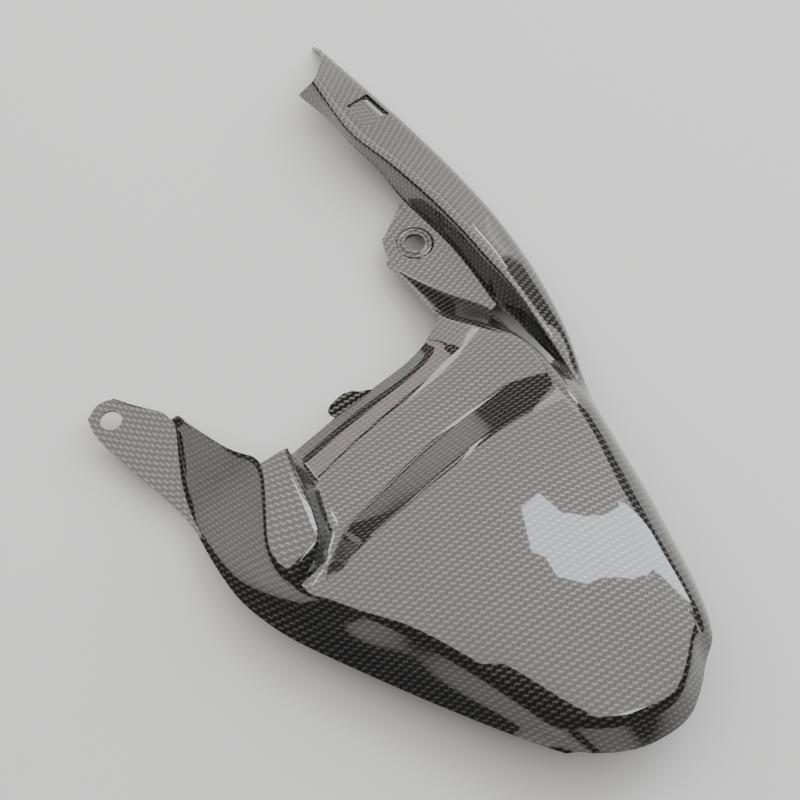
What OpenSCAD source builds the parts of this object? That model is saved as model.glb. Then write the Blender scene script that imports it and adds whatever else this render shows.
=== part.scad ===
// Rear fender of a sports motorcycle: a hugger over the rear tyre with a
// chain guard moulded on its right side, laid up as one carbon-fibre shell.
// X is to the right, Y is forwards and Z is up. The origin is the middle of the
// left mounting bore. The feature lines below are drawn from the centre plane of
// the wheel instead, with Z from the outer face of the bracket plates, and the
// finished shell is moved to the bore.

/* [Laminate] */
// Thickness of the laminate
wall = 2; // [1.6:0.1:2.4]
// Radius of the moulded creases
crease_r = 5; // [4:0.5:7]
// Facets round each moulded crease
crease_steps = 2; // [2:2:4]

/* [Tyre panel] */
// Radius of the panel round the wheel axle
arch_r = 335; // [310:5:380]
// Radius of the panel's crown across the wheel
crown_r = 350; // [280:10:500]
// Height of the crown over the bracket plates, which sets the height of the feature lines
crown_z = 56; // [50:1:62]
// Sideways place of the crown's ridge
crown_x = -5; // [-8:1:2]

/* [Mounts] */
// Diameter of the two mounting bores
bore_d = 13; // [8:0.5:14]
// Half the distance between the two bores, which sets the shell's whole width
bore_x = 108.6; // [98:0.2:119]
// Sideways place of the middle between the bores
bore_mid_x = -1.4; // [-3:0.2:0]
// Forward place of the left bore, which sets the shell's whole length
left_bore_y = 237.4; // [217:0.2:258]
// How far the right bore lies behind the left one
bore_step = 29.6; // [26:0.2:33]
// Diameter of the seat moulded round the right bore
seat_d = 24; // [20:1:26]
// Height of that seat over its plate
seat_h = 1.2; // [0.8:0.2:2]

/* [Chain guard] */
// Length of the slot in the guard
slot_l = 19.5; // [16:0.5:22]
// Width of the slot in the guard
slot_w = 7.5; // [6:0.5:8]
// Depth of the seat pressed into the guard round the slot
recess = 1.5; // [1:0.1:2]
// Width of that seat across the guard
recess_w = 26; // [24:1:28]
// Height of the guard's left crest over the plates
guard_z = 24; // [20:1:28]
// Height of the guard's right crest over the plates
guard_low_z = 3; // [0:1:6]
// Depth of the guard's right wall
guard_skirt = 15; // [10:1:20]

/* [Hidden] */
$fn = 64;
left_bore = [bore_mid_x - bore_x, left_bore_y, 0];
right_bore = [bore_mid_x + bore_x, left_bore_y - bore_step, 0];
// A fillet longer than any span, which turns a line of corners into a curve
soft = arch_r;
// How far the cutting tools reach past the laminate
reach = 10;
// The feature lines are written for bores 217.2 apart and 237.4 forward, and for a crown
// 56 high, and follow those sizes when they change
stretch = [bore_x / 108.6, left_bore_y / 237.4, crown_z / 56];
function sized(points) = [for (p = points) [for (i = [0 : 2]) p[i] * stretch[i]]];
// Places seen from above, put at one height
function level(places, z) = [for (p = places) [p[0] * stretch[0], p[1] * stretch[1], z]];
// Places seen from above, put on the arch of the tyre panel
function on_arch(places) = [for (p = level(places, 0))
    [p[0], p[1], crown_z - p[1] * p[1] / (2 * arch_r) - pow(p[0] - crown_x, 2) / (2 * crown_r)]];
function mix(a, b, t) = a + (b - a) * t;
// A line carried on past its last point, to the row count of the shell
function run_on(line, n) =
    len(line) >= n ? line
    : run_on(concat(line, [2 * line[len(line) - 1] - line[len(line) - 2]]), n);

// Feature lines of the outer face, each from the rear trim to the front.
// Row 0 is the rear trim, 1 the rear crest, 2 to 5 the tyre panel, 6 its front
// edge, 7 the foot of the step, 8 to 10 the front shelf, 11 the front lip,
// 12 to 16 the bracket arms and 17 to 19 the free end of the chain guard.
rows = 20;
left_trim = sized([[-60, -88, 23], [-67, -75, 22], [-76, -56, 21], [-89, -26, 18],
    [-101, 3, 16], [-116, 40, 15], [-124, 62, 14], [-129, 90, 13], [-127, 110, 10],
    [-123, 130, 6], [-119, 145, 3], [-117, 158, 0], [-118, 178, 0], [-120, 192, 0],
    [-122, 216, 0], [-124, 234, 0], [-120, 247, 0]]);
left_fold = sized([[-54, -93, 25], [-63, -77, 28], [-70, -55, 28], [-81, -24, 27], [-92, 5, 26],
    [-105, 41, 24], [-113, 65, 22], [-120, 89, 20], [-121, 107, 16], [-119, 128, 10],
    [-116, 145, 4], [-113, 157, 0], [-108, 172, 0], [-98, 190, 0], [-78.5, 216, 0],
    [-91.4, 233, 0], [-99, 247, 0]]);
left_crest = sized([[-50, -98, 25], [-55, -78, 38], [-61, -58, 40], [-69, -24, 44], [-78, 8, 45],
    [-88, 30, 44], [-94, 50, 38], [-105, 66, 34], [-110, 78, 44], [-105, 95, 51],
    [-91, 112, 52], [-73, 136, 51], [-79, 158, 35], [-79.5, 179.5, 21], [-81.3, 211, 2.5]]);
pad_edge = concat(sized([[-39, -107, 24]]),
    on_arch([[-39, -93], [-43, -75], [-48, -38], [-53, -2], [-60, 32], [-76, 60]]),
    sized([[-84, 72, 33], [-80, 80, 48], [-71, 100, 51], [-65, 118, 52], [-59, 132, 51]]));
pad_foot = concat(sized([[-25, -115, 24]]),
    on_arch([[-22, -102], [-24, -82], [-26, -44], [-28, -5], [-36, 32], [-56, 62]]),
    sized([[-66, 82, 31], [-63, 98, 31], [-56, 113, 29], [-51, 133, 18], [-48, 144, 10]]));
middle = concat(sized([[0, -120, 24]]),
    on_arch([[0, -108], [0, -86], [0, -46], [0, -5], [0, 32], [0, 62]]),
    sized([[0, 90, 29], [0, 108, 28.5], [0, 120, 25], [0, 136, 16], [0, 146, 9]]));
right_middle = concat(sized([[18, -112, 24]]),
    on_arch([[17, -101], [20, -82], [27, -44], [32, -5], [40, 32], [47, 63]]),
    sized([[50, 90, 27], [50, 108, 27], [50, 121, 23.5], [52, 136, 15], [54, 143.5, 8]]));
right_crest = sized([[31, -103, 24], [31, -91, 40], [38, -68, 42], [48, -36, 45], [60, -4, 46],
    [76, 30, 44], [82, 52, 42], [97, 88, 28], [97, 108, 26], [92, 121, 23], [86, 137, 18],
    [76, 155, 12], [79, 170, 8], [82, 186, 4], [83, 208, 0.5]]);
guard_foot_z = guard_low_z - guard_skirt;
right_trim = concat(
    sized([[45.5, -92.5, 23], [52, -86, 22], [62, -66, 21], [74.5, -32.5, 20], [82.5, -12, 19],
        [93, 23.5, 18], [103, 53.5, 16], [124.5, 86.5, 6], [136, 107, 0], [145, 127, -4],
        [151, 144, -7]]),
    level([[156, 162], [160, 180], [163, 198], [165, 216], [167, 240], [168, 262], [169, 288],
        [169, 322]], guard_foot_z),
    level([[172.5, 380]], guard_foot_z - 3));
// The right skirt beside the tyre panel, bowed out a little between crest and trim
skirt_bow = [3, 0, 3];
function skirt(t) =
    [for (i = [0 : 6]) mix(right_crest[i], right_trim[i], t) + 4 * t * (1 - t) * skirt_bow];
flank_foot = concat(skirt(0.3), sized([[108, 90, 6], [107, 108, 3], [107, 124, 1],
    [107, 140, 0], [100, 160, 0], [94, 178, 0], [89, 194, 0], [86, 212, 0], [94, 223, 0]]));
wall_foot = concat(skirt(0.55), sized([[110, 88, 5], [113, 108, 1], [115, 124, 0],
    [113, 140, 0], [118, 160, 0], [121, 176, 0], [123, 190, 0], [124, 212, 0], [124, 238, 0],
    [126, 262, 6], [123, 288, 11], [127, 310, 9], [129, 346, 0]]));
guard_crest = concat(skirt(0.78),
    sized([[111, 88, 17], [115, 108, 20], [120, 128, 21], [123, 145, 22.5]]),
    level([[124, 163], [126, 180], [127, 196], [128, 214], [128, 236], [126, 258], [123, 284],
        [127, 308]], guard_z),
    level([[135.5, 334]], guard_z - 2));
guard_edge = concat(skirt(0.92),
    sized([[123.5, 88, 13.5], [133, 108, 11], [141.5, 128, 8], [148, 145, 6]]),
    level([[154, 163]], guard_low_z + 1),
    level([[158, 180], [161, 198], [163, 216], [165, 240], [166, 262], [167, 288], [167, 320],
        [165.5, 360.5]], guard_low_z));
// The left bracket plate bulges forward between its trim and its fold
plate_bulge = 2;
left_middle = [for (i = [0 : 16]) i == 16 ? sized([[-109, 252, 0]])[0]
    : mix(left_trim[i], left_fold[i], 0.5) + [0, i < 14 ? 0 : plate_bulge, 0]];

lines = [for (line = [left_trim, left_middle, left_fold, left_crest, pad_edge, pad_foot,
        middle, right_middle, right_crest, flank_foot, wall_foot, guard_crest, guard_edge,
        right_trim]) run_on(line, rows)];
cols = len(lines);

// Last row that the laminate reaches between each line and the next
span_end = [16, 16, 14, 11, 11, 11, 11, 11, 14, 15, 19, 19, 19];
// The opening between flank and chain guard: its span, first and last row
gap_span = 9;
gap_rows = [7, 10];
function has_skin(row, span) =
    row < span_end[span] && !(span == gap_span && row >= gap_rows[0] && row < gap_rows[1]);

// Fillet across line c at row r: soft on the tyre panel, tight elsewhere
function line_r(r, c) =
    c == 1 ? soft
    : (c == 4 || c == 5) && r < 7 ? soft
    : c == 6 || c == 7 ? soft
    : c == 2 && r < 11 ? soft
    : c > 8 && c < 13 && r < 7 ? soft
    : c == 12 || c == 11 && r > 10 ? 2 * crease_r
    : crease_r;
// Fillet across row r at line c
function row_r(r, c) =
    c < 3 ? soft
    : c == 3 ? (r == 1 ? crease_r : r == 7 || r == 8 ? 1.6 * crease_r : soft)
    : c > 8 ? soft
    : c == 8 ? (r == 1 ? crease_r : soft)
    : r == 1 || r > 5 ? crease_r
    : soft;

// A chain of corners turned into arcs, with crease_steps facets at each
function arc_point(p, i, r, t) =
    let (a = p[i - 1] - p[i], b = p[i + 1] - p[i],
        from = p[i] + a * min(0.4, r / max(norm(a), 0.01)),
        to = p[i] + b * min(0.4, r / max(norm(b), 0.01)))
    (1 - t) * (1 - t) * from + 2 * t * (1 - t) * p[i] + t * t * to;
function rounded(p, radii) =
    [p[0], for (i = [1 : len(p) - 2], s = [0 : crease_steps])
        arc_point(p, i, radii[i], s / crease_steps), p[len(p) - 1]];
// The corner that a point of a rounded chain belongs to, and back
function corner_of(k, n) = k == 0 ? 0 : min(n - 1, 1 + floor((k - 1) / (crease_steps + 1)));
function span_of(k, n) =
    let (first = 1 + crease_steps / 2)
    k < first ? 0 : min(n - 2, 1 + floor((k - first) / (crease_steps + 1)));

across = [for (r = [0 : rows - 1])
    rounded([for (c = [0 : cols - 1]) lines[c][r]], [for (c = [0 : cols - 1]) line_r(r, c)])];
nu = len(across[0]);
along = [for (k = [0 : nu - 1])
    let (c = corner_of(k, cols))
    rounded([for (r = [0 : rows - 1]) across[r][k]], [for (r = [0 : rows - 1]) row_r(r, c)])];
nv = len(along[0]);

function unit(v) = v / max(norm(v), 0.000001);
function normal_at(k, j) =
    let (u = along[min(k + 1, nu - 1)][j] - along[max(k - 1, 0)][j],
        v = along[k][min(j + 1, nv - 1)] - along[k][max(j - 1, 0)])
    unit(cross(u, v));
function skin_at(k, j) =
    k >= 0 && j >= 0 && k < nu - 1 && j < nv - 1 && has_skin(span_of(j, rows), span_of(k, cols));

module laminate() {
    outer = [for (k = [0 : nu - 1], j = [0 : nv - 1]) along[k][j]];
    inner = [for (k = [0 : nu - 1], j = [0 : nv - 1]) along[k][j] - wall * normal_at(k, j)];
    count = nu * nv;
    function at(k, j) = k * nv + j;
    cells = [for (k = [0 : nu - 2], j = [0 : nv - 2]) if (skin_at(k, j)) [k, j]];
    top = [for (c = cells) let (k = c[0], j = c[1])
        each [[at(k, j), at(k, j + 1), at(k + 1, j + 1)], [at(k, j), at(k + 1, j + 1), at(k + 1, j)]]];
    under = [for (f = top) [f[2] + count, f[1] + count, f[0] + count]];
    // Each open side of a cell as the pair of outer points that bounds it
    open_sides = [for (c = cells) let (k = c[0], j = c[1])
        each [if (!skin_at(k - 1, j)) [at(k, j), at(k, j + 1)],
            if (!skin_at(k, j + 1)) [at(k, j + 1), at(k + 1, j + 1)],
            if (!skin_at(k + 1, j)) [at(k + 1, j + 1), at(k + 1, j)],
            if (!skin_at(k, j - 1)) [at(k + 1, j), at(k, j)]]];
    rim = [for (s = open_sides)
        each [[s[1], s[0], s[0] + count], [s[1], s[0] + count, s[1] + count]]];
    polyhedron(concat(outer, inner), concat(top, under, rim));
}

module bore_at(place) {
    translate(place - [0, 0, wall + reach]) cylinder(d = bore_d, h = wall + 2 * reach);
}

// Middle of the slot seen from above
slot_at = level([[156, 301.4]], 0)[0];
module guard_slot() {
    for (s = [-1, 1])
        translate(slot_at + [0, s * (slot_l - slot_w) / 2, -reach])
            cylinder(d = slot_w, h = 4 * reach);
    translate(slot_at - [slot_w / 2, (slot_l - slot_w) / 2, reach])
        cube([slot_w, slot_l - slot_w, 4 * reach]);
}

// The guard's top face beside the slot: a place on it and its fall to the right
crest_at = mix(guard_crest[17], guard_crest[18], 0.6);
edge_at = mix(guard_edge[17], guard_edge[18], 0.35);
guard_fall = (crest_at[2] - edge_at[2]) / (edge_at[0] - crest_at[0]);
// The seat's ends lean back towards the left crest, and its left side follows the crest
seat_margin = 1.2;
seat_lean = 5.3;
seat_turn = 4;
// How far the slab under the seat reaches into the laminate round it
seat_wall = 0.8;

// A slab on the guard's top face, as large as the seat and its margin, between two heights
module seat_slab(margin, low, high) {
    right = slot_w / 2 + seat_margin + margin;
    left = slot_w / 2 + seat_margin - recess_w - margin;
    end = slot_l / 2 + seat_margin + margin;
    corners = [[left, -end - seat_lean], [right, -end], [right, end],
        [left + seat_turn, end - seat_lean]];
    places = [for (z = [low, high], c = corners)
        [slot_at[0] + c[0], slot_at[1] + c[1],
            crest_at[2] - (slot_at[0] + c[0] - crest_at[0]) * guard_fall + z]];
    polyhedron(places, [[0, 1, 2, 3], [7, 6, 5, 4], [4, 5, 1, 0], [5, 6, 2, 1], [6, 7, 3, 2],
        [7, 4, 0, 3]]);
}

module bore_seat() {
    translate(right_bore - [0, 0, wall / 2]) cylinder(d = seat_d, h = wall / 2 + seat_h);
}

// A short ear of laminate that stands forward from the front lip
ear_at = sized([[0, 140, 7.5]])[0];
module lip_ear() {
    translate(ear_at)
        scale([stretch[0], stretch[1], 1])
            linear_extrude(wall)
                polygon([[-16, 1], [-13.9, 6.5], [-14.8, 9.2], [-14.4, 11.6], [-11.1, 13.3],
                    [-5.8, 14.1], [0.1, 14], [4.9, 12], [8.2, 8.4], [12.6, 6], [17, 2]]);
}

module fender_shell() {
    color("#2b2b2d")
        translate([0, 0, wall / 2] - left_bore)
            difference() {
                union() {
                    laminate();
                    bore_seat();
                    lip_ear();
                    seat_slab(seat_wall, -recess - wall, -recess);
                }
                bore_at(left_bore);
                bore_at(right_bore);
                guard_slot();
                seat_slab(0, -recess, reach);
            }
}

fender_shell();
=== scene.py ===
# %% [markdown]
# A rear fender for a sports motorcycle, moulded in one piece from carbon-fibre cloth. It hugs the
# rear tyre, and a chain guard runs forward from its right side. It has no joints and no fasteners
# of its own, so the whole object is one thin shell. We load the measured solid first, because it
# fixes where everything lies, and we keep its box, which later sets the height of the floor.

# %% The measured solid
import math
import bpy
import numpy as np
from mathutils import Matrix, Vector


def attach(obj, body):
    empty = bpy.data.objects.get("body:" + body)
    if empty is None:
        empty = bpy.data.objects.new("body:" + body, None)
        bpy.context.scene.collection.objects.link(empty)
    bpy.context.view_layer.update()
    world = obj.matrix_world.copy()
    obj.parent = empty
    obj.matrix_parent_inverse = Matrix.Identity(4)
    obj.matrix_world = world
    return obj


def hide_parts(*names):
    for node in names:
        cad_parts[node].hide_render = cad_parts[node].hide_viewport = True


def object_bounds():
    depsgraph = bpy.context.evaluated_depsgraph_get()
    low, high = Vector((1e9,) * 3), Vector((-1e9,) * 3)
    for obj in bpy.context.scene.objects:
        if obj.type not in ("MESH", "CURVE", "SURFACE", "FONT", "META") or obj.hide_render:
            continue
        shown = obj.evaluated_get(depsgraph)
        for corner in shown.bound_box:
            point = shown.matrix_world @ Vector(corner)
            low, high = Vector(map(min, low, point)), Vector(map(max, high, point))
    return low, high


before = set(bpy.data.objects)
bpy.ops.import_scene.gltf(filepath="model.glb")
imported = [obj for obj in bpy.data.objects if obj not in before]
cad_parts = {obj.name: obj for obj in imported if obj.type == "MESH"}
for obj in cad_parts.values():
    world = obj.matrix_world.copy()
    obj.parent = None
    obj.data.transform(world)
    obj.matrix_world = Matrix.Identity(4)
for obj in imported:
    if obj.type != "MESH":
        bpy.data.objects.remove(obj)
cad_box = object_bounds()
MM = 0.001
print("measured box", cad_box)

# %% [markdown]
# A mould for a shell like this is drawn as a net of feature lines: its crests, creases and trims.
# Fourteen lines run from the rear trim to the front, and twenty stations cross them. The flat
# facets lie between the lines, and each line is then rounded. We write the stations of each line
# in millimetres, as on the drawing, and let a formula give the height of the tyre panel. The
# drawing counts from the wheel's centre plane, while the finished fender counts from the middle of
# its left bore, so one shift takes the first to the second.

# %% Driving sizes
WALL = 2.0
CREASE = 5.0
ARCH_RADIUS = 335.0
CROWN_RADIUS = 350.0
CROWN_HEIGHT = 56.0
CROWN_SIDE = -5.0
BORE_RADIUS = 6.5
LEFT_BORE = (-110.0, 237.4)
RIGHT_BORE = (107.2, 207.8)
SHIFT = np.array([-LEFT_BORE[0], -LEFT_BORE[1], WALL / 2])
GUARD_HIGH = 24.0
GUARD_LOW = 3.0
GUARD_SKIRT = 15.0
SLOT_AT = (156.0, 301.4)
SLOT_LENGTH = 19.5
SLOT_WIDTH = 7.5
SEAT_DEPTH = 1.5
SEAT_WIDTH = 26.0
SOFT = 200.0


def panel_height(x, y):
    """Height of the tyre panel: an arch over the wheel with a light crown across it."""
    return CROWN_HEIGHT - y * y / (2 * ARCH_RADIUS) - (x - CROWN_SIDE) ** 2 / (2 * CROWN_RADIUS)


def on_panel(places):
    return [(x, y, panel_height(x, y)) for x, y in places]


# %% The feature lines of the left side
left_trim = [(-60, -88, 23), (-67, -75, 22), (-76, -56, 21), (-89, -26, 18), (-101, 3, 16),
             (-116, 40, 15), (-124, 62, 14), (-129, 90, 13), (-127, 110, 10), (-123, 130, 6),
             (-119, 145, 3), (-117, 158, 0), (-118, 178, 0), (-120, 192, 0), (-122, 216, 0),
             (-124, 234, 0), (-120, 247, 0)]
left_fold = [(-54, -93, 25), (-63, -77, 28), (-70, -55, 28), (-81, -24, 27), (-92, 5, 26),
             (-105, 41, 24), (-113, 65, 22), (-120, 89, 20), (-121, 107, 16), (-119, 128, 10),
             (-116, 145, 4), (-113, 157, 0), (-108, 172, 0), (-98, 190, 0), (-78.5, 216, 0),
             (-91.4, 233, 0), (-99, 247, 0)]
left_crest = [(-50, -98, 25), (-55, -78, 38), (-61, -58, 40), (-69, -24, 44), (-78, 8, 45),
              (-88, 30, 44), (-94, 50, 38), (-105, 66, 34), (-110, 78, 44), (-105, 95, 51),
              (-91, 112, 52), (-73, 136, 51), (-79, 158, 35), (-79.5, 179.5, 21),
              (-81.3, 211, 2.5)]
pad_edge = ([(-39, -107, 24)]
            + on_panel([(-39, -93), (-43, -75), (-48, -38), (-53, -2), (-60, 32), (-76, 60)])
            + [(-84, 72, 33), (-80, 80, 48), (-71, 100, 51), (-65, 118, 52), (-59, 132, 51)])
pad_foot = ([(-25, -115, 24)]
            + on_panel([(-22, -102), (-24, -82), (-26, -44), (-28, -5), (-36, 32), (-56, 62)])
            + [(-66, 82, 31), (-63, 98, 31), (-56, 113, 29), (-51, 133, 18), (-48, 144, 10)])
print("left lines", len(left_trim), len(left_crest), len(pad_edge))

# %% The feature lines of the middle and the right side
middle = ([(0, -120, 24)]
          + on_panel([(0, -108), (0, -86), (0, -46), (0, -5), (0, 32), (0, 62)])
          + [(0, 90, 29), (0, 108, 28.5), (0, 120, 25), (0, 136, 16), (0, 146, 9)])
right_middle = ([(18, -112, 24)]
                + on_panel([(17, -101), (20, -82), (27, -44), (32, -5), (40, 32), (47, 63)])
                + [(50, 90, 27), (50, 108, 27), (50, 121, 23.5), (52, 136, 15), (54, 143.5, 8)])
right_crest = [(31, -103, 24), (31, -91, 40), (38, -68, 42), (48, -36, 45), (60, -4, 46),
               (76, 30, 44), (82, 52, 42), (97, 88, 28), (97, 108, 26), (92, 121, 23),
               (86, 137, 18), (76, 155, 12), (79, 170, 8), (82, 186, 4), (83, 208, 0.5)]
deep = GUARD_LOW - GUARD_SKIRT
right_trim = [(45.5, -92.5, 23), (52, -86, 22), (62, -66, 21), (74.5, -32.5, 20), (82.5, -12, 19),
              (93, 23.5, 18), (103, 53.5, 16), (124.5, 86.5, 6), (136, 107, 0), (145, 127, -4),
              (151, 144, -7), (156, 162, deep), (160, 180, deep), (163, 198, deep),
              (165, 216, deep), (167, 240, deep), (168, 262, deep), (169, 288, deep),
              (169, 322, deep), (172.5, 380, deep - 3)]


def skirt(share):
    """The right skirt beside the panel, a share of the way from crest to trim, bowed out."""
    bow = 12 * share * (1 - share)
    return [tuple(a + (b - a) * share + w * bow for a, b, w in zip(p, q, (1, 0, 1)))
            for p, q in zip(right_crest[:7], right_trim[:7])]


flank_foot = skirt(0.3) + [(108, 90, 6), (107, 108, 3), (107, 124, 1), (107, 140, 0),
                           (100, 160, 0), (94, 178, 0), (89, 194, 0), (86, 212, 0), (94, 223, 0)]
wall_foot = skirt(0.55) + [(110, 88, 5), (113, 108, 1), (115, 124, 0), (113, 140, 0),
                           (118, 160, 0), (121, 176, 0), (123, 190, 0), (124, 212, 0),
                           (124, 238, 0), (126, 262, 6), (123, 288, 11), (127, 310, 9),
                           (129, 346, 0)]
guard_crest = (skirt(0.78) + [(111, 88, 17), (115, 108, 20), (120, 128, 21), (123, 145, 22.5)]
               + [(x, y, GUARD_HIGH) for x, y in [(124, 163), (126, 180), (127, 196), (128, 214),
                                                  (128, 236), (126, 258), (123, 284), (127, 308)]]
               + [(135.5, 334, GUARD_HIGH - 2)])
guard_edge = (skirt(0.92) + [(123.5, 88, 13.5), (133, 108, 11), (141.5, 128, 8), (148, 145, 6),
                             (154, 163, GUARD_LOW + 1)]
              + [(x, y, GUARD_LOW) for x, y in [(158, 180), (161, 198), (163, 216), (165, 240),
                                                (166, 262), (167, 288), (167, 320),
                                                (165.5, 360.5)]])
print("right lines", len(right_trim), len(guard_crest), len(guard_edge))

# %% [markdown]
# Some lines end before the others: the left arm stops at its bracket, and the front lip ends the
# shelf. A short line is carried straight on, only to keep the net square, and a table of last
# stations says where the cloth really ends between two lines. One small opening lies between the
# shelf's flank and the foot of the chain guard.

# %% The net
left_middle = [tuple((a + b) / 2 for a, b in zip(p, q)) for p, q in zip(left_trim, left_fold)]
left_middle[14] = (left_middle[14][0], left_middle[14][1] + 2, 0)
left_middle[15] = (left_middle[15][0], left_middle[15][1] + 2, 0)
left_middle[16] = (-109, 252, 0)
lines = [left_trim, left_middle, left_fold, left_crest, pad_edge, pad_foot, middle, right_middle,
         right_crest, flank_foot, wall_foot, guard_crest, guard_edge, right_trim]
STATIONS = 20


def carried_on(line):
    line = [np.array(p, float) for p in line]
    while len(line) < STATIONS:
        line.append(2 * line[-1] - line[-2])
    return line


net = np.array([carried_on(line) for line in lines])
LAST_STATION = [16, 16, 14, 11, 11, 11, 11, 11, 14, 15, 19, 19, 19]
GAP_SPAN = 9
GAP_STATIONS = (7, 10)


def has_cloth(station, span):
    in_gap = span == GAP_SPAN and GAP_STATIONS[0] <= station < GAP_STATIONS[1]
    return station < LAST_STATION[span] and not in_gap


print("net of", net.shape[0], "lines and", net.shape[1], "stations")

# %% [markdown]
# Each line is rounded with a quadratic arc that starts and ends a set distance from the corner.
# Where the surface is one sweeping curve the distance is so large that neighbouring arcs meet, and
# the row of corners turns into a smooth spline. Rounding first across the lines and then along
# them gives a surface that is crisp at its creases and soft in its panels.


# %% Rounding the net
ARC_POINTS = 9


def line_radius(station, line):
    if line in (1, 6, 7) or (line in (4, 5) and station < 7):
        return SOFT
    if (line == 2 and station < 11) or (8 < line < 13 and station < 7):
        return SOFT
    return 2 * CREASE if line == 12 or (line == 11 and station > 10) else CREASE


def station_radius(station, line):
    if line < 3 or line > 8:
        return SOFT
    if line == 3:
        return {1: CREASE, 7: 8.0, 8: 8.0}.get(station, SOFT)
    if line == 8:
        return CREASE if station == 1 else SOFT
    return CREASE if station == 1 or station > 5 else SOFT


def rounded(corners, radii):
    """A chain of corners as arcs, with the same count of points at every corner."""
    points = [corners[0]]
    for here, before, after, radius in zip(corners[1:-1], corners[:-2], corners[2:], radii[1:-1]):
        a, b = before - here, after - here
        start = here + a * min(0.5, radius / max(np.linalg.norm(a), 0.01))
        end = here + b * min(0.5, radius / max(np.linalg.norm(b), 0.01))
        for k in range(ARC_POINTS):
            t = (k + 0.5) / ARC_POINTS if radius == SOFT else k / (ARC_POINTS - 1)
            points.append((1 - t) ** 2 * start + 2 * t * (1 - t) * here + t * t * end)
    points.append(corners[-1])
    return np.array(points)


def corner_of(point, count):
    return 0 if point == 0 else min(count - 1, 1 + (point - 1) // ARC_POINTS)


def span_of(point, count):
    first = 1 + ARC_POINTS // 2
    return 0 if point < first else min(count - 2, 1 + (point - first) // ARC_POINTS)


across = np.array([rounded(net[:, s], [line_radius(s, c) for c in range(len(net))])
                   for s in range(STATIONS)])
surface = []
for k in range(across.shape[1]):
    line = corner_of(k, len(net))
    surface.append(rounded(across[:, k], [station_radius(s, line) for s in range(STATIONS)]))
surface = np.array(surface)
print("surface of", surface.shape[0], "by", surface.shape[1], "points")

# %% [markdown]
# The outer skin is a sheet of four-sided faces over the net's points, left out where there is no
# cloth. The faces are wound so that they look away from the tyre, because the wall is grown
# inwards from them.

# %% The outer skin
columns, steps = surface.shape[:2]
used = {}
points = []
faces = []


def point_number(k, j):
    if (k, j) not in used:
        used[k, j] = len(points)
        points.append((surface[k, j] + SHIFT) * MM)
    return used[k, j]


for k in range(columns - 1):
    for j in range(steps - 1):
        if has_cloth(span_of(j, STATIONS), span_of(k, len(net))):
            ring = [(k, j), (k + 1, j), (k + 1, j + 1), (k, j + 1)]
            faces.append([point_number(*corner) for corner in ring])
skin_mesh = bpy.data.meshes.new("outer_skin")
skin_mesh.from_pydata([tuple(p) for p in points], [], faces)
skin_mesh.update()
skin = bpy.data.objects.new("outer_skin", skin_mesh)
bpy.context.scene.collection.objects.link(skin)
up_share = sum(1 for f in skin_mesh.polygons if f.normal.z > 0) / len(faces)
print("skin faces", len(faces), "share looking up", round(up_share, 2))

# %% [markdown]
# The cloth has to lie on the shell as real cloth does, with tows of one width everywhere, so the
# pattern can't simply be thrown down from above: it would stretch on the steep skirts. Unwrapping
# the skin with the least stretch gives flat cloth coordinates. They come out at any size and
# angle, so they are then turned and scaled until they agree with the real sizes on the tyre panel.

# %% Cloth coordinates
bpy.context.view_layer.objects.active = skin
skin.select_set(True)
skin_mesh.uv_layers.new(name="cloth")
bpy.ops.object.mode_set(mode="EDIT")
bpy.ops.mesh.select_all(action="SELECT")
bpy.ops.uv.unwrap(method="MINIMUM_STRETCH", margin=0.0, no_flip=False, iterations=30)
bpy.ops.object.mode_set(mode="OBJECT")
loop_points = np.empty(len(skin_mesh.loops), int)
skin_mesh.loops.foreach_get("vertex_index", loop_points)
flat = np.empty(len(skin_mesh.loops) * 2)
skin_mesh.uv_layers["cloth"].uv.foreach_get("vector", flat)
flat = flat.reshape(-1, 2)
places = np.array(points)[loop_points] - SHIFT * MM
on_top = (np.abs(places[:, 0]) < 0.04) & (places[:, 1] > -0.07) & (places[:, 1] < 0.06)
target = places[on_top][:, 0] + 1j * places[on_top][:, 1]
source = flat[on_top][:, 0] + 1j * flat[on_top][:, 1]
ts, ss = target - target.mean(), source - source.mean()
direct = np.vdot(ss, ts) / np.vdot(ss, ss)
mirrored = np.vdot(ss.conj(), ts) / np.vdot(ss, ss)
whole = flat[:, 0] + 1j * flat[:, 1] - source.mean()
cloth = whole * direct if abs(direct) > abs(mirrored) else whole.conj() * mirrored
cloth = cloth + target.mean()
flat[:, 0], flat[:, 1] = cloth.real, cloth.imag
skin_mesh.uv_layers["cloth"].uv.foreach_set("vector", flat.ravel())
print("cloth reaches", np.round(flat.min(0), 3), "to", np.round(flat.max(0), 3), "m")

# %% [markdown]
# Carbon cloth is a plain weave: flat tows of fibre cross over and under one another. A shader
# node group draws it, because the pattern is the same wherever the cloth is used. It turns the
# cloth coordinates to the lay of the tows and counts cells. The cell pattern is the real weave,
# but its light is painted: a tow of one set comes up in every even cell and gets a painted
# highlight along its middle, as a short bright dash. The tows of the other set only show as thin
# strokes of dimmer painted highlight that join one dash to the next, so the eye sees small stairs.


# %% The weave group
def add(tree, kind, **settings):
    node = tree.nodes.new(kind)
    for name, value in settings.items():
        setattr(node, name, value)
    return node


def inputs_of(tree, wanted):
    for name, kind, value in wanted:
        socket = tree.interface.new_socket(name=name, in_out="INPUT", socket_type=kind)
        if value is not None:
            socket.default_value = value


def maths(tree, operation, a, b=None):
    node = add(tree, "ShaderNodeMath", operation=operation)
    for socket, value in zip(node.inputs, (a, b)):
        if value is None:
            continue
        if isinstance(value, (int, float)):
            socket.default_value = value
        else:
            tree.links.new(value, socket)
    return node.outputs[0]


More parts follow.
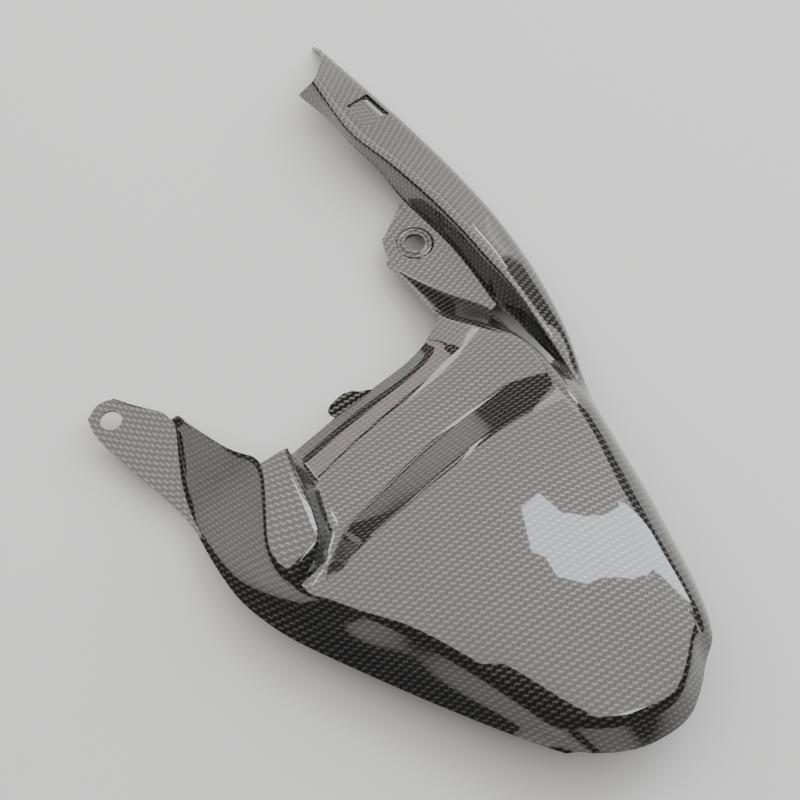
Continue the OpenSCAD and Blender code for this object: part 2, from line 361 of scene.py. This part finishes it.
def ridge(tree, place, middle, reach):
    """A soft ridge, one high at the middle of a cell and gone at its reach."""
    away = maths(tree, "ABSOLUTE", maths(tree, "SUBTRACT", place, middle))
    fade = add(tree, "ShaderNodeMapRange", interpolation_type="SMOOTHSTEP")
    fade.inputs["From Min"].default_value = reach
    fade.inputs["From Max"].default_value = 0.0
    tree.links.new(away, fade.inputs["Value"])
    return fade.outputs["Result"]


def even_cell(tree, a, b):
    """One in the even cells of a checkerboard, nought in the odd ones."""
    cells = maths(tree, "ADD", maths(tree, "FLOOR", a), maths(tree, "FLOOR", b))
    return maths(tree, "SUBTRACT", 1.0, maths(tree, "FLOORED_MODULO", cells, 2.0))


def weave_group():
    tree = bpy.data.node_groups.new("plain_weave", "ShaderNodeTree")
    inputs_of(tree, (("Cloth", "NodeSocketVector", None), ("Tow Width", "NodeSocketFloat", 0.0026),
                     ("Lay", "NodeSocketFloat", 0.0), ("Cross Tow Highlight", "NodeSocketFloat", 0.4)))
    tree.interface.new_socket(name="Shade", in_out="OUTPUT", socket_type="NodeSocketFloat")
    tree.interface.new_socket(name="Height", in_out="OUTPUT", socket_type="NodeSocketFloat")
    start, end = add(tree, "NodeGroupInput"), add(tree, "NodeGroupOutput")
    turned = add(tree, "ShaderNodeVectorRotate", rotation_type="Z_AXIS")
    tree.links.new(start.outputs["Cloth"], turned.inputs["Vector"])
    tree.links.new(start.outputs["Lay"], turned.inputs["Angle"])
    parts = add(tree, "ShaderNodeSeparateXYZ")
    tree.links.new(turned.outputs[0], parts.inputs[0])
    a = maths(tree, "DIVIDE", parts.outputs["X"], start.outputs["Tow Width"])
    b = maths(tree, "DIVIDE", parts.outputs["Y"], start.outputs["Tow Width"])
    in_a, in_b = maths(tree, "FRACT", a), maths(tree, "FRACT", b)
    later_a, later_b = maths(tree, "ADD", a, -0.5), maths(tree, "ADD", b, 0.5)
    crown_a = maths(tree, "SINE", maths(tree, "MULTIPLY", in_a, math.pi))
    crown_b = maths(tree, "SINE", maths(tree, "MULTIPLY", in_b, math.pi))
    # Painted highlight: a bright dash along the middle of each raised tow of one set.
    painted_dash = maths(tree, "MULTIPLY", even_cell(tree, a, b), ridge(tree, in_a, 0.5, 0.38))
    painted_dash = maths(tree, "MULTIPLY", painted_dash, ridge(tree, in_b, 0.5, 0.8))
    # Painted highlight: a thin, dimmer stroke on the other set's tows, scaled by the cross-tow
    # input.
    painted_stroke = maths(tree, "MULTIPLY", even_cell(tree, later_a, later_b),
                   ridge(tree, maths(tree, "FRACT", later_b), 0.5, 0.26))
    dimmed = maths(tree, "MULTIPLY", painted_stroke, start.outputs["Cross Tow Highlight"])
    tree.links.new(maths(tree, "ADD", painted_dash, dimmed), end.inputs["Shade"])
    tree.links.new(maths(tree, "MULTIPLY", crown_a, crown_b), end.inputs["Height"])
    return tree


weave = weave_group()
print("weave group with", len(weave.nodes), "nodes")

# %% [markdown]
# The finish is resin-soaked cloth under a thick polished clear coat. The coat is a separate,
# almost mirror-smooth layer with its own gloss, and it doesn't follow the tows. Under it the
# base colour is nearly black where the fibres dip, and a tow is painted a dull grey where it
# would catch the light, as a painted highlight. The ear at the front lip was left without the
# coat, so its cloth coordinates are moved far away, and the coat stops where they begin.


# %% The carbon material
TOW_WIDTH = 2.6 * MM
LAY = math.radians(-37)
BARE_CLOTH = 10.0


def carbon_material():
    material = bpy.data.materials.new("clear_coated_carbon")
    material.use_nodes = True
    tree = material.node_tree
    shader = tree.nodes["Principled BSDF"]
    cloth_map = add(tree, "ShaderNodeUVMap", uv_map="cloth")
    pattern = add(tree, "ShaderNodeGroup")
    pattern.node_tree = weave
    pattern.inputs["Tow Width"].default_value = TOW_WIDTH
    pattern.inputs["Lay"].default_value = LAY
    pattern.inputs["Cross Tow Highlight"].default_value = 0.45
    tree.links.new(cloth_map.outputs["UV"], pattern.inputs["Cloth"])
    # Painted highlight: the weave's tone mixes near-black cloth with dull grey painted onto the
    # tows where they would catch the light.
    tow_highlight_colours = add(tree, "ShaderNodeMix", data_type="RGBA")
    tow_highlight_colours.inputs["A"].default_value = (0.009, 0.0085, 0.008, 1)
    tow_highlight_colours.inputs["B"].default_value = (0.16, 0.15, 0.14, 1)
    tree.links.new(pattern.outputs["Shade"], tow_highlight_colours.inputs["Factor"])
    tree.links.new(tow_highlight_colours.outputs["Result"], shader.inputs["Base Color"])
    bump = add(tree, "ShaderNodeBump")
    bump.inputs["Strength"].default_value = 0.35
    bump.inputs["Distance"].default_value = 0.0002
    tree.links.new(pattern.outputs["Height"], bump.inputs["Height"])
    tree.links.new(bump.outputs["Normal"], shader.inputs["Normal"])
    shader.inputs["Metallic"].default_value = 0.85
    shader.inputs["Roughness"].default_value = 0.4
    shader.inputs["Specular IOR Level"].default_value = 0.1
    across_cloth = add(tree, "ShaderNodeSeparateXYZ")
    tree.links.new(cloth_map.outputs["UV"], across_cloth.inputs[0])
    coated = maths(tree, "LESS_THAN", across_cloth.outputs["X"], BARE_CLOTH / 2)
    tree.links.new(coated, shader.inputs["Coat Weight"])
    shader.inputs["Coat Roughness"].default_value = 0.03
    shader.inputs["Coat IOR"].default_value = 1.85
    return material


carbon = carbon_material()
print("material", carbon.name)

# %% [markdown]
# The laminate is the skin with a wall grown inwards, and then the holes are cut, as they are
# drilled in the workshop after moulding. A Geometry Nodes tree does it, so the wall, the bores
# and the slot stay as named sizes. Extruding the faces gives the inner skin and the cut edges.
# They come out inside out, so they are flipped before they are joined to the outer skin.


# %% The laminate tree
ROUND_SIDES = 96
SHARP_ANGLE = math.radians(38)
DRILL_DEPTH = 20 * MM


def laminate_tree():
    tree = bpy.data.node_groups.new("laminate", "GeometryNodeTree")
    inputs_of(tree, (("Skin", "NodeSocketGeometry", None), ("Wall", "NodeSocketFloat", 0.002),
                     ("Bore Radius", "NodeSocketFloat", 0.006),
                     ("Left Bore", "NodeSocketVector", None),
                     ("Right Bore", "NodeSocketVector", None),
                     ("Moulded On", "NodeSocketObject", None),
                     ("Seat Cutter", "NodeSocketObject", None),
                     ("Slot Cutter", "NodeSocketObject", None),
                     ("Material", "NodeSocketMaterial", None)))
    tree.interface.new_socket(name="Shell", in_out="OUTPUT", socket_type="NodeSocketGeometry")
    start, end = add(tree, "NodeGroupInput"), add(tree, "NodeGroupOutput")
    link = tree.links.new
    inward = add(tree, "ShaderNodeMath", operation="MULTIPLY")
    inward.inputs[1].default_value = -1.0
    link(start.outputs["Wall"], inward.inputs[0])
    grown = add(tree, "GeometryNodeExtrudeMesh", mode="FACES")
    grown.inputs["Individual"].default_value = False
    link(start.outputs["Skin"], grown.inputs["Mesh"])
    link(inward.outputs[0], grown.inputs["Offset Scale"])
    flipped = add(tree, "GeometryNodeFlipFaces")
    link(grown.outputs["Mesh"], flipped.inputs[0])
    both = add(tree, "GeometryNodeJoinGeometry")
    link(flipped.outputs[0], both.inputs[0])
    link(start.outputs["Skin"], both.inputs[0])
    closed = add(tree, "GeometryNodeMergeByDistance")
    closed.inputs["Distance"].default_value = 0.000002
    link(both.outputs[0], closed.inputs["Geometry"])
    more = add(tree, "GeometryNodeObjectInfo")
    link(start.outputs["Moulded On"], more.inputs["Object"])
    grown_on = add(tree, "GeometryNodeMeshBoolean", operation="UNION", solver="MANIFOLD")
    link(closed.outputs[0], grown_on.inputs["Mesh 2"])
    link(more.outputs["Geometry"], grown_on.inputs["Mesh 2"])
    cut = add(tree, "GeometryNodeMeshBoolean", operation="DIFFERENCE", solver="MANIFOLD")
    link(grown_on.outputs["Mesh"], cut.inputs["Mesh 1"])
    for bore in ("Left Bore", "Right Bore"):
        drill = add(tree, "GeometryNodeMeshCylinder")
        drill.inputs["Vertices"].default_value = ROUND_SIDES
        drill.inputs["Depth"].default_value = DRILL_DEPTH
        link(start.outputs["Bore Radius"], drill.inputs["Radius"])
        placed = add(tree, "GeometryNodeTransform")
        link(drill.outputs["Mesh"], placed.inputs["Geometry"])
        link(start.outputs[bore], placed.inputs["Translation"])
        link(placed.outputs[0], cut.inputs["Mesh 2"])
    for cutter in ("Seat Cutter", "Slot Cutter"):
        routed = add(tree, "GeometryNodeObjectInfo")
        link(start.outputs[cutter], routed.inputs["Object"])
        link(routed.outputs["Geometry"], cut.inputs["Mesh 2"])
    smooth = add(tree, "GeometryNodeSetShadeSmooth", domain="FACE")
    link(cut.outputs["Mesh"], smooth.inputs["Geometry"])
    angle = add(tree, "GeometryNodeInputMeshEdgeAngle")
    sharp = add(tree, "FunctionNodeCompare", data_type="FLOAT", operation="GREATER_THAN")
    sharp.inputs["B"].default_value = SHARP_ANGLE
    link(angle.outputs["Unsigned Angle"], sharp.inputs["A"])
    edged = add(tree, "GeometryNodeSetShadeSmooth", domain="EDGE")
    edged.inputs["Shade Smooth"].default_value = False
    link(smooth.outputs[0], edged.inputs["Geometry"])
    link(sharp.outputs[0], edged.inputs["Selection"])
    real = add(tree, "GeometryNodeRealizeInstances")
    link(edged.outputs[0], real.inputs[0])
    finish = add(tree, "GeometryNodeSetMaterial")
    link(real.outputs[0], finish.inputs["Geometry"])
    link(start.outputs["Material"], finish.inputs["Material"])
    link(finish.outputs[0], end.inputs["Shell"])
    return tree


laminate = laminate_tree()
print("laminate tree with", len(laminate.nodes), "nodes")

# %% [markdown]
# Some details are moulded on or cut out with small solids of their own. The slot is routed with a
# round cutter, so its tool is a box with two round ends. The mould presses a shallow seat into
# the guard round it: a slab of laminate lies lower there, and what stands over it is taken away.
# A stepped ring stiffens the right bore, and a short ear stands forward from the front lip.


# %% Small solids
def prism(outline, low, high, level=lambda x, y: 0.0):
    """A straight prism on an outline, between two heights over a level."""
    n = len(outline)
    bottoms = [(x, y, level(x, y) + low) for x, y in outline]
    tops = [(x, y, level(x, y) + high) for x, y in outline]
    sides = [(i, (i + 1) % n, n + (i + 1) % n, n + i) for i in range(n)]
    return bottoms + tops, sides + [tuple(range(n, 2 * n)), tuple(reversed(range(n)))]


def slot_outline():
    half, r = (SLOT_LENGTH - SLOT_WIDTH) / 2, SLOT_WIDTH / 2
    turns = [math.pi * i / 24 for i in range(25)]
    front = [(SLOT_AT[0] + r * math.cos(t), SLOT_AT[1] + half + r * math.sin(t)) for t in turns]
    back = [(SLOT_AT[0] - r * math.cos(t), SLOT_AT[1] - half - r * math.sin(t)) for t in turns]
    return front + back


def seat_outline(margin):
    """The seat seen from above: its ends lean back towards the left crest."""
    right = SLOT_WIDTH / 2 + 1.2 + margin
    left = SLOT_WIDTH / 2 + 1.2 - SEAT_WIDTH - margin
    end = SLOT_LENGTH / 2 + 1.2 + margin
    corners = [(left, -end - 5.3), (right, -end), (right, end), (left + 4, end - 5.3)]
    return [(SLOT_AT[0] + x, SLOT_AT[1] + y) for x, y in corners]


def guard_level(x, y):
    """Height of the guard's top face beside the slot, which falls to the right."""
    crest = 0.4 * np.array(guard_crest[17]) + 0.6 * np.array(guard_crest[18])
    edge = 0.65 * np.array(guard_edge[17]) + 0.35 * np.array(guard_edge[18])
    return crest[2] - (x - crest[0]) * (crest[2] - edge[2]) / (edge[0] - crest[0])


def turned(profile, centre, sides=ROUND_SIDES):
    """A closed ring turned from a profile of radius and height."""
    n = len(profile)
    ring = [(centre[0] + r * math.cos(2 * math.pi * i / sides),
             centre[1] + r * math.sin(2 * math.pi * i / sides), z)
            for i in range(sides) for r, z in profile]
    quads = []
    for i in range(sides):
        here, there = i * n, (i + 1) % sides * n
        quads += [(here + k, there + k, there + (k + 1) % n, here + (k + 1) % n) for k in range(n)]
    return ring, quads


BORE_RING = [(5.0, -1.0), (12.4, -1.0), (12.4, -0.05), (11.9, 0.1), (11.4, 0.5), (11.0, 0.9),
             (10.4, 1.12), (9.8, 1.12), (9.3, 0.9), (9.0, 0.55), (8.7, 0.5), (8.4, 0.6),
             (8.2, 1.0), (7.9, 1.2), (5.0, 1.2)]
EAR = [(-16, 141), (-13.9, 146.5), (-14.8, 149.2), (-14.4, 151.6), (-11.1, 153.3), (-5.8, 154.1),
       (0.1, 154), (4.9, 152), (8.2, 148.4), (12.6, 146), (17, 142)]
EAR_HALF = 20
EAR_LEVEL = 7.5
SEAT_MARGIN = 0.8


def join(solids):
    joined_points, joined_faces = [], []
    for some_points, some_faces in solids:
        first = len(joined_points)
        joined_points += some_points
        joined_faces += [tuple(first + i for i in f) for f in some_faces]
    return joined_points, joined_faces


def tool(name, solid):
    mesh = bpy.data.meshes.new(name)
    mesh.from_pydata([tuple((np.array(p) + SHIFT) * MM) for p in solid[0]], [], solid[1])
    mesh.uv_layers.new(name="cloth")
    for loop, uv in zip(mesh.loops, mesh.uv_layers["cloth"].uv):
        x, y = solid[0][loop.vertex_index][:2]
        bare = BARE_CLOTH if abs(x) < EAR_HALF else 0.0
        uv.vector = (x * MM + bare, y * MM)
    thing = bpy.data.objects.new(name, mesh)
    bpy.context.scene.collection.objects.link(thing)
    return thing


ear = prism(list(reversed(EAR)), EAR_LEVEL, EAR_LEVEL + WALL)
seat = prism(seat_outline(SEAT_MARGIN), -SEAT_DEPTH - WALL, -SEAT_DEPTH, guard_level)
moulded_on = tool("moulded_on", join([ear, turned(BORE_RING, RIGHT_BORE), seat]))
seat_tool = tool("seat_tool", prism(seat_outline(0.0), -SEAT_DEPTH, 10, guard_level))
slot_tool = tool("slot_tool", prism(slot_outline(), -10, 30))
print("slot", SLOT_LENGTH, "by", SLOT_WIDTH, "mm in a seat", SEAT_DEPTH, "mm deep")


# %% [markdown]
# Now the tree gets its sizes and makes the shell. Its evaluated mesh is kept as a plain object, and
# the skin and the small solids, which were only there to make it, are thrown away. The weighted
# normals keep the flat facets flat beside the small arcs at the creases.

# %% Making the shell
def set_input(modifier, tree, name, value):
    for item in tree.interface.items_tree:
        if item.name == name and item.in_out == "INPUT":
            modifier[item.identifier] = value


def in_frame(place):
    return tuple((np.array([place[0], place[1], 0.0]) + SHIFT) * MM)


maker = skin.modifiers.new("laminate", "NODES")
maker.node_group = laminate
set_input(maker, laminate, "Wall", WALL * MM)
set_input(maker, laminate, "Bore Radius", BORE_RADIUS * MM)
set_input(maker, laminate, "Left Bore", in_frame(LEFT_BORE))
set_input(maker, laminate, "Right Bore", in_frame(RIGHT_BORE))
set_input(maker, laminate, "Moulded On", moulded_on)
set_input(maker, laminate, "Seat Cutter", seat_tool)
set_input(maker, laminate, "Slot Cutter", slot_tool)
set_input(maker, laminate, "Material", carbon)
even_facets = skin.modifiers.new("even_facets", "WEIGHTED_NORMAL")
even_facets.keep_sharp = True
bpy.context.view_layer.update()
made = skin.evaluated_get(bpy.context.evaluated_depsgraph_get())
shell = bpy.data.objects.new("shell", bpy.data.meshes.new_from_object(made))
bpy.context.scene.collection.objects.link(shell)
shell.data.materials.clear()
shell.data.materials.append(carbon)
shell.data.polygons.foreach_set("material_index", [0] * len(shell.data.polygons))
for thing in (skin, moulded_on, slot_tool, seat_tool):
    bpy.data.objects.remove(thing)
print("shell faces", len(shell.data.polygons), "uv layers", [u.name for u in shell.data.uv_layers])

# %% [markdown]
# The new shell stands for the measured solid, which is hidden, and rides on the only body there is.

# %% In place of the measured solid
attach(shell, "root")
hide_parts("fender_shell")
print("materials", [m.name for m in shell.data.materials])

# %% [markdown]
# A studio for a black glossy part is mostly about what the part reflects. One large soft panel
# hangs where the top faces mirror it towards the camera, so that they turn light grey, while the
# steep skirts reflect the dim room and stay dark. A lower panel does the same for the guard, whose
# top leans to the right. Brighter cards in front of them show as a white window on the tyre panel
# and as short bars on the creases, which let the eye read the gloss. The floor is plain and pale.

# %% The floor
FLOOR_HALF = 6
FLOOR_GREY = 0.62
low = cad_box[0][2]
floor_mesh = bpy.data.meshes.new("floor")
floor_corners = [(x * FLOOR_HALF, y * FLOOR_HALF, low)
                 for x, y in [(-1, -1), (1, -1), (1, 1), (-1, 1)]]
floor_mesh.from_pydata(floor_corners, [], [(0, 1, 2, 3)])
floor = bpy.data.objects.new("floor", floor_mesh)
bpy.context.scene.collection.objects.link(floor)
paper = bpy.data.materials.new("pale_paper")
paper.use_nodes = True
paper_look = paper.node_tree.nodes["Principled BSDF"].inputs
paper_look["Base Color"].default_value = (FLOOR_GREY, FLOOR_GREY, FLOOR_GREY, 1)
paper_look["Roughness"].default_value = 0.9
paper_look["Specular IOR Level"].default_value = 0.0
floor_mesh.materials.append(paper)
print("floor at", round(low, 4))

# %% [markdown]
# The camera looks from the left rear and from high above, as the photograph does. Its place was
# found by laying the drawn outline over the photograph until both agreed.

# %% The camera
AZIMUTH, ELEVATION, FIELD = math.radians(-42.5), math.radians(62), math.radians(28)
DISTANCE = 0.8913
aim = Vector((np.array([5, 110, 56]) + SHIFT) * MM)
back = Vector((math.sin(AZIMUTH) * math.cos(ELEVATION), -math.cos(AZIMUTH) * math.cos(ELEVATION),
               math.sin(ELEVATION)))
lens = bpy.data.cameras.new("camera")
lens.angle = FIELD
lens.clip_start = 0.01
camera = bpy.data.objects.new("camera", lens)
camera.location = aim + back * DISTANCE
camera.rotation_euler = back.to_track_quat("Z", "Y").to_euler()
bpy.context.scene.collection.objects.link(camera)
bpy.context.scene.camera = camera
print("camera at", [round(c, 3) for c in camera.location])

# %% [markdown]
# Every light is given by the direction in which it hangs, seen from the fender, because that is
# what decides which face mirrors it. The big panels light the object, and the cards are small.


# %% The lights
def towards(azimuth, elevation):
    """A direction from the fender: degrees from forwards towards the right, and degrees up."""
    a, e = math.radians(azimuth), math.radians(elevation)
    return Vector((math.sin(a) * math.cos(e), math.cos(a) * math.cos(e), math.sin(e)))


def panel_light(name, direction, distance, size, radiance, tint=(1, 1, 1)):
    """A rectangular soft light that faces the fender, set by its brightness and not its watts."""
    light = bpy.data.lights.new(name, "AREA")
    light.shape = "RECTANGLE"
    light.size, light.size_y = size
    light.energy = radiance * math.pi * size[0] * size[1]
    light.color = tint
    holder = bpy.data.objects.new(name, light)
    holder.location = aim + direction * distance
    holder.rotation_euler = direction.to_track_quat("Z", "Y").to_euler()
    bpy.context.scene.collection.objects.link(holder)
    return holder


def glowing_card(name, corners, distance, colour, strength):
    """A flat card hung in the given directions, which shows as a shape in the gloss."""
    centre = Vector((0, 0, 0))
    for azimuth, elevation in corners:
        centre += towards(azimuth, elevation)
    centre.normalize()
    places = []
    for azimuth, elevation in corners:
        ray = towards(azimuth, elevation)
        places.append(tuple(aim + ray * (distance / ray.dot(centre))))
    mesh = bpy.data.meshes.new(name)
    mesh.from_pydata(places, [], [tuple(range(len(places)))])
    card = bpy.data.objects.new(name, mesh)
    bpy.context.scene.collection.objects.link(card)
    glow = bpy.data.materials.new(name)
    glow.use_nodes = True
    shader = glow.node_tree.nodes["Principled BSDF"]
    shader.inputs["Base Color"].default_value = (0, 0, 0, 1)
    shader.inputs["Specular IOR Level"].default_value = 0.0
    shader.inputs["Emission Color"].default_value = colour + (1,)
    shader.inputs["Emission Strength"].default_value = strength
    mesh.materials.append(glow)
    return card


panel_light("overhead_panel", towards(42.5, 72), 2.0, (8.0, 4.8), 2.05, (1.0, 0.97, 0.935))
panel_light("side_panel", towards(60, 12), 1.9, (1.0, 0.98), 1.3, (1.0, 0.96, 0.92))
COOL_WHITE = (0.95, 0.98, 1.0)
CARD_DISTANCE = 1.5
glowing_card("window", [(54, 59), (60, 54), (72, 56), (83, 49), (93, 32), (98, 8), (103, 12),
                        (106, 47), (103, 67), (89, 71), (76, 69), (66, 69)],
             1.6, (0.9, 0.96, 1.0), 7.5)
for name, (left, right), (foot, head), colour, strength in (
        ("side_lamp", (70, 76), (0.5, 7), COOL_WHITE, 8.0),
        ("front_card", (4, 28), (6, 14), (1.0, 0.9, 0.88), 2.2),
        ("thin_front_card", (23, 26), (3, 25), (1.0, 0.98, 0.95), 5.0),
        ("rear_card", (169, 179), (40, 50), COOL_WHITE, 7.0)):
    corners = [(left, foot), (right, foot), (right, head), (left, head)]
    glowing_card(name, corners, CARD_DISTANCE, colour, strength)
world = bpy.data.worlds.new("room")
bpy.context.scene.world = world
world.use_nodes = True
world.node_tree.nodes["Background"].inputs["Color"].default_value = (0.12, 0.12, 0.123, 1)
